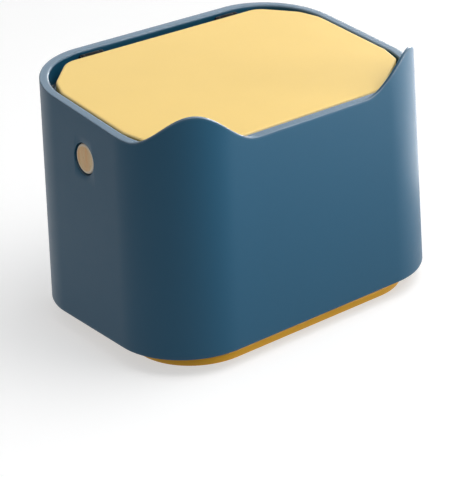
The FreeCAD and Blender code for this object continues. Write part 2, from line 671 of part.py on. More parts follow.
def make_lid_bumpers():
    front_x = FRONT_LEDGE_HALF_LENGTH - FRONT_BUMPER_FROM_END
    side_v = SIDE_LEDGE_HALF_LENGTH - SIDE_BUMPER_FROM_END
    places = []
    for side in (-1, 1):
        places.append((side * front_x, LID_FRONT + BUMPER_INSET))
        for v in (-side_v, side_v):
            places.append((side * (LID_HALF_WIDTH - BUMPER_INSET), v))
    bumpers = []
    for x, v in places:
        pad = Part.makeCylinder(BUMPER_RADIUS, BUMPER_HEIGHT, V(x, v, -LID_THICKNESS - BUMPER_HEIGHT))
        low_edge = min(pad.Edges, key=lambda e: e.BoundBox.ZMax)
        bumpers.append(tilted(pad.makeFillet(BUMPER_HEIGHT / 2, [low_edge])))
    return Part.makeCompound(bumpers)


def make_side_knob(point, direction):
    """Turned button with a rounded edge, sunk in a seat whose floor its stem goes through."""
    back = -KNOB_SEAT_DEPTH
    top = back + KNOB_THICKNESS
    shoulder = V(KNOB_RADIUS, 0, back + KNOB_EDGE)
    face = V(KNOB_FACE_RADIUS, 0, top)
    bulge = (KNOB_RADIUS - KNOB_FACE_RADIUS) * (1 - math.sqrt(0.5))
    lift = (KNOB_THICKNESS - KNOB_EDGE) * math.sqrt(0.5)
    middle = V(KNOB_RADIUS - bulge, 0, back + KNOB_EDGE + lift)
    corners = [V(0, 0, top), V(0, 0, KNOB_STEM_END), V(KNOB_STEM_RADIUS, 0, KNOB_STEM_END)]
    corners += [V(KNOB_STEM_RADIUS, 0, back), V(KNOB_RADIUS, 0, back), shoulder]
    edges = [line(a, b) for a, b in zip(corners, corners[1:])]
    edges += [Part.Arc(shoulder, middle, face).toShape(), line(face, corners[0])]
    button = Part.Face(Part.Wire(edges)).revolve(V(0, 0, 0), V(0, 0, 1), 360)
    pilot_radius = KNOB_SCREW_SHANK + SCREW_THREAD_GAP
    pilot = Part.makeCylinder(pilot_radius, KNOB_SCREW_DEPTH, V(0, 0, KNOB_STEM_END))
    return along_axis(button.cut(pilot), point, direction)


def make_knob_washers():
    washers = []
    for name, point, direction in knob_places():
        low = V(0, 0, KNOB_SEAT_BACK - KNOB_WASHER_THICKNESS)
        washer = Part.makeCylinder(KNOB_WASHER_RADIUS, KNOB_WASHER_THICKNESS, low)
        screw_bore = KNOB_SCREW_SHANK + SCREW_HOLE_GAP
        hole = Part.makeCylinder(screw_bore, 2 * KNOB_WASHER_THICKNESS, low)
        washers.append(along_axis(washer.cut(hole), point, direction))
    return Part.makeCompound(washers)


def make_knob_screws():
    screws = []
    for name, point, direction in knob_places():
        seat = KNOB_SEAT_BACK - KNOB_WASHER_THICKNESS
        head_low = V(0, 0, seat - KNOB_SCREW_HEAD_HEIGHT)
        head = Part.makeCylinder(KNOB_SCREW_HEAD, KNOB_SCREW_HEAD_HEIGHT, head_low)
        low_edge = min(head.Edges, key=lambda e: e.BoundBox.ZMax)
        head = head.makeFillet(KNOB_SCREW_HEAD_HEIGHT / 2, [low_edge])
        length = KNOB_WASHER_THICKNESS + KNOB_SCREW_DEPTH
        sunk = KNOB_SCREW_HEAD_HEIGHT / 2
        shank = Part.makeCylinder(KNOB_SCREW_SHANK, length + sunk, V(0, 0, seat - sunk))
        screws.append(along_axis(join([head, shank]), point, direction))
    return Part.makeCompound(screws)


def make_screws(length, places):
    """Group of equal screws at (head position, direction) places."""
    return Part.makeCompound([along_axis(screw(length), *place) for place in places])


def tilted_places(points, direction):
    return [(TILT.multVec(point), TILT.Rotation.multVec(direction)) for point in points]


def main():
    down = V(0, 0, -1)
    up = V(0, 0, 1)
    parts = {
        "outer_shell": make_outer_shell(),
        "inner_bucket": make_inner_bucket(),
        "seat_frame": make_seat_frame(),
        "frame_screws": make_screws(FRAME_SCREW_LENGTH, frame_screw_places()),
        "hinge_rail": make_hinge_rail(),
        "rail_screws": make_screws(RAIL_SCREW_LENGTH, tilted_places(rail_screw_places(), down)),
        "bracket_screws": make_screws(BRACKET_SCREW_LENGTH, tilted_places(bracket_screw_places(), down)),
        "leaf_screws": make_screws(LEAF_SCREW_LENGTH, tilted_places(leaf_screw_places(), up)),
        "pin_clips": make_pin_clips(),
        "friction_washers": make_friction_washers(),
        "lid_panel": make_lid_panel(),
        "lid_liner": make_lid_liner(),
        "lid_bumpers": make_lid_bumpers(),
        "knob_screws": make_knob_screws(),
        "knob_washers": make_knob_washers(),
    }
    for name, side in (("left", -1), ("right", 1)):
        parts["hinge_bracket_" + name] = make_hinge_bracket(side)
        parts["hinge_leaf_" + name] = make_hinge_leaf(side)
        parts["hinge_pin_" + name] = make_hinge_pin(side)
    for name, point, direction in knob_places():
        parts["side_knob_" + name] = make_side_knob(point, direction)
    os.makedirs("parts", exist_ok=True)
    for name, shape in sorted(parts.items()):
        shape.exportStep("parts/" + name + ".step")
        print(name, len(shape.Solids), "solids", round(shape.Volume / 1000, 2), "cm3", shape.isValid())


main()
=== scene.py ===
import math

import bmesh
import bpy
from bpy.props import FloatProperty, FloatVectorProperty, IntProperty, PointerProperty
from bpy.types import Operator, Panel, PropertyGroup
from mathutils import Matrix, Vector


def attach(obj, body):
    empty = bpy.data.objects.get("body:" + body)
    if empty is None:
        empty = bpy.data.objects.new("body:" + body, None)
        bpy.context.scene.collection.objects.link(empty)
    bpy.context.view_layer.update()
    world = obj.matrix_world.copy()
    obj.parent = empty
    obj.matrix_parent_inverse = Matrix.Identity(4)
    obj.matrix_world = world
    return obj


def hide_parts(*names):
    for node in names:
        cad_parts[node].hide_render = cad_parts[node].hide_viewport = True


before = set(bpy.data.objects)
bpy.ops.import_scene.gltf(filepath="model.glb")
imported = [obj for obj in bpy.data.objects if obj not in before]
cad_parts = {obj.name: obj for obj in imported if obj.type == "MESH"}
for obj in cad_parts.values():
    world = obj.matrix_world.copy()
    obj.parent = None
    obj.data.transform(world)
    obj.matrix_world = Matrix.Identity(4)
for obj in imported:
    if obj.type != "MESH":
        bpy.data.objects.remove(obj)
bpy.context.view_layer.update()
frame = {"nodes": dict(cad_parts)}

bl_info = {
    "name": "Eared litter bin",
    "version": (1, 0, 0),
    "blender": (4, 5, 0),
    "location": "3D View > Sidebar > Litter bin",
    "description": "Builds a lidded bin whose outer sleeve stands on a yellow inner bucket",
    "category": "Add Mesh",
}

NODES = frame["nodes"]

# Heights in metres of the grain that the finishes raise
SKIN_RELIEF = 0.00012
DRAWN_RELIEF = 0.00005
RUBBER_RELIEF = 0.0001

# Distances in metres from a rounded edge to the rings of points that keep its neighbours flat
NEAR_RING = 0.001
WALL_RING = 0.0016
FIELD_RING = 0.004
UNDERSIDE_RING = 0.012

# Small forms in metres: an ear's foot fillet, the ring in the stem's end and the button's back edge
EAR_FILLET = 0.0009
STEM_RING = 0.002
BACK_BREAK = 0.0003

# Spacing in metres of an ear's points where it lies flat, and steps of it over the ear's inner face
FLAT_STEP = 0.00012
EAR_FACE_STEPS = 4

# Heights of an ear in metres at which that spacing is gone and its edge is fully paled, as wear and
# painted highlight
EAR_APART = 0.003
EAR_WORN_AND_HIGHLIT = 0.004

# Shares up the outside, down an ear, down the inside, up the bucket and across the button's face
OUTSIDE_SHARES = (0.012, 0.12, 0.25, 0.4, 0.55, 0.7, 0.82, 0.91, 0.96)
EAR_FACE_SHARES = (0.3, 0.65)
INSIDE_SHARES = (0.75, 0.5, 0.25)
BUCKET_SHARES = (0.1, 0.3, 0.5, 0.7, 0.9)
FACE_SHARES = (0.9, 0.7, 0.45, 0.15)

# Share of a rounding's radius from the sharp corner to its crest, on a rim and on the plinth's step
CREST = 0.3
STEP_CREST = 0.4

# Wear and painted edge highlight from 0 to 1 of feet, recesses, lower edges and rims, and the least of
# it on two rounded edges
FOOT_WEAR_AND_HIGHLIGHT = 0.05
PLINTH_WEAR_AND_HIGHLIGHT = 0.1
RECESS_WEAR_AND_HIGHLIGHT = 0.3
FLANK_WEAR_AND_HIGHLIGHT = 0.4
# The plinth's step is paled as a painted highlight, where light falls on its chamfer
STEP_PAINTED_HIGHLIGHT = 0.45
LOW_EDGE_WEAR_AND_HIGHLIGHT = 0.6
CREST_WEAR_AND_HIGHLIGHT = 0.8
OUTER_LEAST_WEAR_AND_HIGHLIGHT = 0.2
MOUTH_LEAST_WEAR_AND_HIGHLIGHT = 0.1

# Points round a corner, and along the right, back, left and front
SLEEVE_STATIONS = (40, (30, 24, 30, 72))
BUCKET_STATIONS = (24, (10, 14, 10, 14))
LID_CORNER_STEPS = 10

# Widths in metres by which the edges of the solids are broken
FINE_BREAK = 0.0002
SMALL_BREAK = 0.0003
FULL_BREAK = 0.0004

# Least angles between faces whose edge is shaded sharp and whose edge is broken, and slivers in metres
SHARP_ANGLE = math.radians(38)
BREAK_ANGLE = math.radians(40)
SLIVER = 1e-6

# Lift in metres that keeps the edge of a seat's cutter out of the wall's plane
CUT_CLEAR = 0.00003

# Rounds in which the rim's height at a station settles
RIM_ROUNDS = 5

# Sockets of the mix node for colours
MIX_FACTOR, MIX_FIRST, MIX_SECOND, MIX_RESULT = 0, 6, 7, 2

# Corners anticlockwise from the right front: sides in x and y, and the angle at which the arc starts
CORNERS = ((1, -1, -90), (1, 1, 0), (-1, 1, 90), (-1, -1, 180))
RIGHT_FRONT, LEFT_FRONT = 0, 3

# Studio: half the floor's side, the camera's sensor in millimetres and its nearest and farthest sight
FLOOR_HALF = 8.0
SENSOR = 36.0
SIGHT = (0.05, 60.0)

# Panels seen only in gloss: name, place, point faced, width, height and the property with its power
BIN_MIDDLE = (0, 0, 0.15)
GLOSS_PANELS = (
    ("gloss_back", (1.7, 1.9, 2.0), BIN_MIDDLE, 2.2, 2.2, "back"),
    ("gloss_rim", (1.9, 1.2, 0.35), BIN_MIDDLE, 0.9, 0.6, "rim"),
    ("gloss_front", (1.5, -1.7, 1.8), BIN_MIDDLE, 1.6, 1.2, "front"),
    ("gloss_card", (0.62, 0.12, 0.003), (0.62, 0.12, 1.0), 0.55, 0.8, "card"),
)


def length(label, note, value):
    return FloatProperty(name=label, description=note, default=value, unit="LENGTH", precision=5)


def angle(label, note, degrees):
    return FloatProperty(name=label, description=note, default=math.radians(degrees), unit="ROTATION")


def amount(label, note, value):
    return FloatProperty(name=label, description=note, default=value)


def colour(label, note, value):
    return FloatVectorProperty(name=label, description=note, default=value, size=3,
                               subtype="COLOR", min=0, max=1)


def paint(red, green, blue):
    """Linear colour from the 0 to 255 values of a screen colour."""
    made = []
    for value in (red, green, blue):
        share = value / 255
        made.append(share / 12.92 if share <= 0.04045 else ((share + 0.055) / 1.055) ** 2.4)
    return tuple(made)


class SleeveSizes(PropertyGroup):
    width: length("Width", "Outer width at the bottom edge", 0.320)
    depth: length("Depth", "Outer depth at the bottom edge", 0.229)
    height: length("Height", "Height of the back rim above the bottom edge", 0.2086)
    foot_rise: length("Foot rise", "Height of the bottom edge above the floor", 0.016)
    corner_radius: length("Corner radius", "Outer radius of the upright corners", 0.069)
    side_draft: angle("Side draft", "Lean of the two sides", 2.3)
    face_draft: angle("Face draft", "Lean of the front and the back", 0.67)
    rim_slope: angle("Rim slope", "Fall of the rim towards the front", 7.125)
    wall: length("Wall", "Thickness of the wall", 0.0032)
    land_width: length("Land width", "Width of the flat rim", 0.0078)
    land_thickness: length("Land thickness", "Thickness of the flat rim", 0.004)
    skirt_wall: length("Skirt wall", "Thickness of the skirt in the mouth", 0.0025)
    skirt_depth: length("Skirt depth", "Depth of the skirt below the rim", 0.024)
    outer_round: length("Outer edge round", "Rounding of the outer top edge", 0.0009)
    ear_round: length("Ear edge round", "Rounding of the ear's inner top edge", 0.0012)
    mouth_round: length("Mouth edge round", "Rounding where the rim meets the mouth", 0.0018)
    foot_round: length("Foot edge round", "Rounding of the bottom edge", 0.0009)
    ear_height: length("Ear height", "Height of an ear above the rim", 0.0282)
    ear_half_length: length("Ear half length", "Half the length of an ear along the rim", 0.059)
    ear_peak: length("Ear peak", "Way of the ear's peak past the start of the corner", 0.0332)


class BucketSizes(PropertyGroup):
    wall: length("Wall", "Thickness of the wall", 0.0025)
    floor: length("Floor", "Thickness of the floor", 0.003)
    floor_round: length("Floor round", "Rounding where the wall meets the floor", 0.005)
    plinth_side_inset: length("Plinth side inset", "Plinth set in from the sleeve at the sides", 0.020)
    plinth_face_inset: length("Plinth face inset", "Plinth set in from the front and back", 0.014)
    plinth_height: length("Plinth height", "Height of the plinth", 0.006)
    plinth_step: length("Plinth step", "Chamfer on top of the plinth", 0.0026)
    mouth_gap: length("Mouth gap", "Gap from the bucket's rim to the sleeve's mouth", 0.001)
    flange_width: length("Flange width", "Width of the rim outside the wall", 0.0022)
    flange_thickness: length("Flange thickness", "Thickness of the rim", 0.003)
    rim_drop: length("Rim drop", "Drop of the bucket's rim below the sleeve's", 0.0223)
    edge_round: length("Edge round", "Rounding of the rim and plinth edges", 0.0007)


class LidSizes(PropertyGroup):
    thickness: length("Thickness", "Thickness of the panel", 0.008)
    skin: length("Skin", "Thickness of the panel above the liner", 0.003)
    border: length("Border", "Width of the border round the liner", 0.012)
    side_gap: length("Side gap", "Gap to the mouth at the sides", 0.0012)
    front_gap: length("Front gap", "Gap to the mouth at the front", 0.0006)
    back_gap: length("Back gap", "Slot behind the panel, along the slope", 0.0116)
    edge_round: length("Edge round", "Rounding of the top edge", 0.002)
    low_round: length("Low edge round", "Rounding of the bottom edge", 0.0006)
    front_round: length("Front corner round", "Rounding of the outline at the front corners", 0.007)
    back_round: length("Back corner round", "Rounding of the outline at the back corners", 0.022)
    front_clip_across: length("Front clip across", "Width of the clip at a front corner", 0.053)
    front_clip_along: length("Front clip along", "Length of the clip at a front corner", 0.0396)
    back_clip: length("Back clip", "Width and length of the clip at a back corner", 0.029)
    clip_lead: length("Clip lead", "Length over which a side bends towards its clip", 0.020)
    front_bend: length("Front bend", "Way that a side bends in before a front clip", 0.0052)
    back_bend: length("Back bend", "Way that a side bends in before a back clip", 0.0076)


class ButtonSizes(PropertyGroup):
    radius: length("Radius", "Radius of a wooden button", 0.0129)
    face_radius: length("Face radius", "Radius of its flat face", 0.0114)
    edge: length("Edge", "Height of its straight edge", 0.0018)
    thickness: length("Thickness", "Thickness of the button", 0.003)
    dome: length("Dome", "Swell of its face", 0.0003)
    seat_gap: length("Seat gap", "Gap round the button in its seat", 0.0012)
    seat_depth: length("Seat depth", "Depth of the round seat in the sleeve", 0.0042)
    seat_floor: length("Seat floor", "Thickness of the seat's floor", 0.0016)
    seat_wall: length("Seat wall", "Thickness of the seat's wall", 0.002)
    seat_lip: length("Seat lip", "Rounding of the seat's outer edge", 0.0006)
    stem_radius: length("Stem radius", "Radius of the stem through the seat's floor", 0.006)
    stem_gap: length("Stem gap", "Gap round the stem", 0.0002)
    stem_short: length("Stem short", "Way that the stem ends short of the seat's back", 0.0002)
    skirt_gap: length("Skirt gap", "Drop of its middle below the sleeve's skirt", 0.0144)
    turns: IntProperty(name="Turns", description="Facets round the button", default=72, min=12)


class Finishes(PropertyGroup):
    sleeve: colour("Sleeve blue", "Colour of the sleeve", paint(18, 84, 115))
    frame: colour("Frame blue", "Colour of the seat frame", paint(30, 52, 66))
    rail: colour("Rail grey", "Colour of the hinge rail", paint(112, 130, 144))
    # Lid yellow is paled: the sheen on the lid's top is painted into its colour, and its gloss kept low
    lid: colour("Lid yellow", "Colour of the lid", paint(247, 212, 125))
    liner: colour("Liner yellow", "Colour of the lid's liner", paint(238, 190, 84))
    bucket: colour("Bucket yellow", "Colour of the inner bucket", paint(239, 175, 22))
    hinge: colour("Hinge dark", "Colour of the hinges", paint(20, 22, 26))
    beech: colour("Beech", "Pale tone of the buttons", paint(255, 227, 178))
    beech_late: colour("Beech late wood", "Dark tone of the buttons", paint(252, 182, 104))
    steel: colour("Steel", "Colour of the screws and pins", paint(150, 152, 154))
    pin: colour("Pin steel", "Colour of the blackened hinge pins", paint(44, 45, 48))
    rubber: colour("Rubber", "Colour of the bumpers", paint(58, 56, 54))
    floor: colour("Floor", "Colour of the studio floor", paint(205, 205, 205))


class Studio(PropertyGroup):
    floor_glow: amount("Floor glow", "Strength of the light that the floor gives off", 0.53)
    surround: amount("Surround", "Strength of the white surround", 0.305)
    top: amount("Top light", "Power of the light overhead on the right in watts", 44.0)
    right: amount("Right light", "Power of the low light in front on the right in watts", 13.2)
    right_spread: angle("Right spread", "Spread of the low light's beam, which fades downwards", 60.0)
    back: amount("Back panel", "Power of the panel mirrored in the rim and lid in watts", 52.0)
    rim: amount("Rim panel", "Power of the panel mirrored in the right corner in watts", 40.0)
    front: amount("Front panel", "Power of the panel mirrored in the rounded edges in watts", 28.0)
    card: amount("Floor card", "Power of the floor card mirrored in the right corner in watts", 2.6)
    lens: amount("Lens", "Focal length in millimetres on a 36 mm sensor", 125.3)
    turn: angle("Turn", "Camera's turn round the bin", -37.10)
    lift: angle("Lift", "Camera's height above the horizon", 24.91)
    roll: angle("Roll", "Camera's roll", -2.99)
    place: FloatVectorProperty(name="Place", description="Camera's place", size=3,
                               default=(-0.8197, -1.0840, 0.6812),
                               subtype="TRANSLATION", unit="LENGTH", precision=5)


class Wire:
    """Output of a shader node that can be used in sums."""

    def __init__(self, finish, socket):
        self.finish = finish
        self.socket = socket

    def sum(self, operation, first, second):
        return self.finish.node("ShaderNodeMath", {"operation": operation}, {0: first, 1: second})

    def __add__(self, other):
        return self.sum("ADD", self, other)

    def __radd__(self, other):
        return self.sum("ADD", other, self)

    def __sub__(self, other):
        return self.sum("SUBTRACT", self, other)

    def __rsub__(self, other):
        return self.sum("SUBTRACT", other, self)

    def __mul__(self, other):
        return self.sum("MULTIPLY", self, other)

    def __rmul__(self, other):
        return self.sum("MULTIPLY", other, self)


class Finish:
    """A node material under a plain name, with a principled surface."""

    def __init__(self, name):
        self.material = bpy.data.materials.new(name)
        self.material.use_nodes = True
        self.tree = self.material.node_tree
        self.tree.nodes.clear()
        self.surface = self.tree.nodes.new("ShaderNodeBsdfPrincipled")
        output = self.tree.nodes.new("ShaderNodeOutputMaterial")
        self.tree.links.new(self.surface.outputs["BSDF"], output.inputs["Surface"])

    def node(self, kind, settings, sockets, output=0):
        """Add a node: its settings first, then the values or links of its sockets."""
        made = self.tree.nodes.new(kind)
        for key, value in settings.items():
            if key == "stops":
                self.set_stops(made.color_ramp, value)
            else:
                setattr(made, key, value)
        for key, value in sockets.items():
            self.plug(made.inputs[key], value)
        return Wire(self, made.outputs[output])

    def set_stops(self, ramp, stops):
        while len(ramp.elements) < len(stops):
            ramp.elements.new(0.5)
        for element, (place, tone) in zip(ramp.elements, stops):
            element.position = place
            element.color = (tone, tone, tone, 1)

    def plug(self, socket, value):
        if isinstance(value, Wire):
            self.tree.links.new(value.socket, socket)
        else:
            socket.default_value = value

    def set(self, **sockets):
        """Set the surface's sockets, with spaces for underscores in their names."""
        for key, value in sockets.items():
            self.plug(self.surface.inputs[key.replace("_", " ")], value)

    def place(self):
        return self.node("ShaderNodeTexCoord", {}, {}, "Object")

    def stretched(self, scale):
        """Object coordinates stretched by a scale along each axis."""
        return self.node("ShaderNodeVectorMath", {"operation": "MULTIPLY"}, {0: self.place(), 1: scale})

    def noise(self, scale, detail=2.0, rough=0.5, vector=None):
        where = vector or self.place()
        sockets = {"Vector": where, "Scale": scale, "Detail": detail, "Roughness": rough}
        return self.node("ShaderNodeTexNoise", {}, sockets, "Fac")

    def cells(self, scale):
        sockets = {"Vector": self.place(), "Scale": scale}
        return self.node("ShaderNodeTexVoronoi", {"feature": "F1"}, sockets, "Distance")

    def ramp(self, factor, stops):
        return self.node("ShaderNodeValToRGB", {"stops": stops}, {"Fac": factor})

    def mark(self, name):
        """Value that a mesh carries on its points."""
        return self.node("ShaderNodeAttribute", {"attribute_name": name}, {}, "Fac")

    def mix(self, factor, first, second):
        """Colour between two colours."""
        ends = [value if isinstance(value, Wire) else (*value, 1) for value in (first, second)]
        sockets = {MIX_FACTOR: factor, MIX_FIRST: ends[0], MIX_SECOND: ends[1]}
        settings = {"data_type": "RGBA", "clamp_factor": True}
        return self.node("ShaderNodeMix", settings, sockets, MIX_RESULT)

    def bump(self, height, strength, distance):
        sockets = {"Height": height, "Strength": strength, "Distance": distance}
        return self.node("ShaderNodeBump", {}, sockets)


def toned(base, share):
    """Colour made lighter or darker by a share."""
    return tuple(min(1.0, value * share) for value in base)


def paled(base, keep, lift):
    """Colour washed out towards white or grey."""
    return tuple(value * keep + lift for value in base)


def moulded_plastic(name, base, sheen, grain, depth, gloss=0.3):
    """Moulded plastic: a spark-eroded skin, faint flow marks, rubbed edges paled as wear and painted
    highlight, and soft handling marks.
    """
    finish = Finish(name)
    flow = finish.noise(14.0, detail=3.0, rough=0.55, vector=finish.stretched((1.0, 1.0, 0.35)))
    speck = finish.noise(grain * 0.6, detail=1.0)
    skin = finish.noise(grain, rough=0.6)
    pits = finish.cells(grain * 0.55)
    rubbed = finish.noise(75.0, detail=4.0, rough=0.65)
    # Edges paled by the edge mark: wear on rubbed edges, and a painted highlight along them
    wear_and_highlight_share = finish.mark("edge_wear") * (rubbed * 0.7 + 0.45)
    body = finish.mix(flow * 0.8 + 0.1, toned(base, 0.955), toned(base, 1.045))
    body = finish.mix(speck * 0.35, body, toned(base, 0.90))
    finish.set(Base_Color=finish.mix(wear_and_highlight_share * 0.7, body, paled(base, 0.75, 0.23)))
    finish.set(Roughness=sheen + (skin - 0.5) * 0.10 + (rubbed - 0.5) * 0.09 - wear_and_highlight_share * 0.06)
    height = skin * 0.6 + pits * 0.4 + flow * 0.8
    finish.set(Normal=finish.bump(height, strength=depth, distance=SKIN_RELIEF))
    finish.set(Specular_IOR_Level=gloss)
    return finish.material


def beech_wood(name, pale, late):
    """Turned beech: straight upright grain, drifts of tone, dark flecks and a paler edge, sanded wood
    with a painted highlight.
    """
    finish = Finish(name)
    sway = finish.noise(60.0)
    fibre = finish.noise(1.0, detail=4.0, rough=0.65, vector=finish.stretched((1400.0, 1400.0, 60.0)))
    bands = finish.noise(1.0, detail=3.0, rough=0.55, vector=finish.stretched((420.0, 420.0, 16.0)))
    fleck = finish.noise(1.0, detail=1.0, vector=finish.stretched((1900.0, 1900.0, 330.0)))
    broad = finish.noise(1.0, detail=1.0, vector=finish.stretched((70.0, 70.0, 14.0)))
    rings = [(0.38, 0.0), (0.50, 0.7), (0.60, 0.15), (0.72, 1.0)]
    lines = finish.ramp(bands + (sway - 0.5) * 0.25, rings)
    dark_fleck = finish.ramp(fleck, [(0.62, 0.0), (0.72, 1.0)])
    drift = finish.ramp(broad, [(0.38, 1.0), (0.62, 0.0)])
    wood = finish.mix(lines * 0.35 + fibre * 0.2 + drift * 0.45, pale, late)
    wood = finish.mix(dark_fleck * 0.45, wood, toned(late, 0.62))
    # The rounded rim is paled: sanded wood, and a painted highlight on the rim
    sanded_and_highlight = finish.mark("edge_wear") * (0.7 + fibre * 0.3)
    finish.set(Base_Color=finish.mix(sanded_and_highlight, wood, paled(pale, 0.5, 0.5)))
    finish.set(Roughness=0.42 + fibre * 0.16)
    finish.set(Normal=finish.bump(fibre * 0.6 + lines * 0.4, strength=0.35, distance=SKIN_RELIEF))
    return finish.material


def drawn_steel(name, base):
    """Plated steel: fine drawn lines and cloudy roughness."""
    finish = Finish(name)
    lines = finish.noise(1.0, rough=0.6, vector=finish.stretched((300.0, 2600.0, 2600.0)))
    cloud = finish.noise(180.0, detail=3.0, rough=0.6)
    finish.set(Base_Color=finish.mix(cloud, toned(base, 0.80), toned(base, 1.08)))
    finish.set(Roughness=0.24 + lines * 0.16 + cloud * 0.10)
    finish.set(Normal=finish.bump(lines, strength=0.15, distance=DRAWN_RELIEF))
    finish.set(Metallic=1.0)
    return finish.material


def soft_rubber(name, base):
    """Soft rubber: dull, faintly dusty, with a fine grain."""
    finish = Finish(name)
    grain = finish.noise(2600.0, rough=0.6)
    dust = finish.noise(240.0, detail=4.0, rough=0.65)
    finish.set(Base_Color=finish.mix(dust * 0.5, base, paled(base, 0.7, 0.07)))
    finish.set(Roughness=0.72 + dust * 0.16)
    finish.set(Normal=finish.bump(grain, strength=0.3, distance=RUBBER_RELIEF))
    return finish.material


def studio_floor(name, base, glow):
    """Pale lit floor with a barely seen grain."""
    finish = Finish(name)
    grain = finish.noise(35.0, detail=4.0, rough=0.6)
    finish.set(Base_Color=finish.mix(grain, toned(base, 0.99), base))
    finish.set(Roughness=0.82 + grain * 0.1)
    finish.set(Specular_IOR_Level=0.0, Emission_Color=(1, 1, 1, 1), Emission_Strength=glow)
    return finish.material


def rounding(radius, step):
    """Inset, drop and pale edge value (wear and painted highlight) of points over a rounded edge from
    side to top, some degrees apart.
    """
    made = []
    for turn in range(0, 91, step):
        bend = math.radians(turn)
        made.append((radius * (1 - math.cos(bend)), radius * (1 - math.sin(bend)), math.sin(2 * bend)))
    return made


def drawn_in(outline, inset):
    """Outline of half width, half depth and corner radius, moved inward."""
    return tuple(value - inset for value in outline)


def stations(arc_steps, run_steps):
    """Stations round a round-cornered outline, anticlockwise from the right front corner."""
    made = []
    for corner in range(len(CORNERS)):
        for step in range(arc_steps + 1):
            made.append(("arc", corner, step / arc_steps))
        for step in range(1, run_steps[corner]):
            made.append(("run", corner, step / run_steps[corner]))
    return made


def corner_point(corner, share, half_w, half_d, radius):
    side_x, side_y, start = CORNERS[corner]
    turn = math.radians(start + 90 * share)
    x = side_x * (half_w - radius) + radius * math.cos(turn)
    y = side_y * (half_d - radius) + radius * math.sin(turn)
    return Vector((x, y, 0))


def station_point(station, outline):
    """Place of a station on an outline of half width, half depth and corner radius."""
    kind, corner, share = station
    if kind == "arc":
        return corner_point(corner, share, *outline)
    start = corner_point(corner, 1, *outline)
    return start.lerp(corner_point((corner + 1) % len(CORNERS), 0, *outline), share)


def sleeve_outline(sizes, z, inset):
    """Outline of the sleeve at a height, moved inward."""
    height = z - sizes.foot_rise
    half_w = sizes.width / 2 - math.tan(sizes.side_draft) * height
    half_d = sizes.depth / 2 - math.tan(sizes.face_draft) * height
    return drawn_in((half_w, half_d, sizes.corner_radius), inset)


def rim_height(sizes, y):
    """Height of the rim's sloping plane at a depth."""
    top = sizes.foot_rise + sizes.height
    return top + math.tan(sizes.rim_slope) * (y - sleeve_outline(sizes, top, 0)[1])


def mouth_outline(sizes, outset):
    """Outline of the mouth inside the flat rim, moved outward."""
    return drawn_in(sleeve_outline(sizes, sizes.foot_rise + sizes.height, sizes.land_width), -outset)


def ear_rise(sizes, station):
    """Rise of the rim's edge above its plane: a smooth wave at each front corner."""
    kind, corner, share = station
    radius = sizes.corner_radius
    front = -sleeve_outline(sizes, sizes.foot_rise + sizes.height, 0)[1]
    middle = sleeve_outline(sizes, rim_height(sizes, front), 0)[0] - radius
    if kind == "arc" and corner == RIGHT_FRONT:
        run = radius * math.pi / 2 * share
    elif kind == "arc" and corner == LEFT_FRONT:
        run = radius * math.pi / 2 * (1 - share)
    elif kind == "run" and corner == LEFT_FRONT:
        run = middle * (abs(2 * share - 1) - 1)
    else:
        return 0.0
    along = (run - sizes.ear_peak) / sizes.ear_half_length
    return sizes.ear_height / 2 * (1 + math.cos(math.pi * along)) if abs(along) < 1 else 0.0


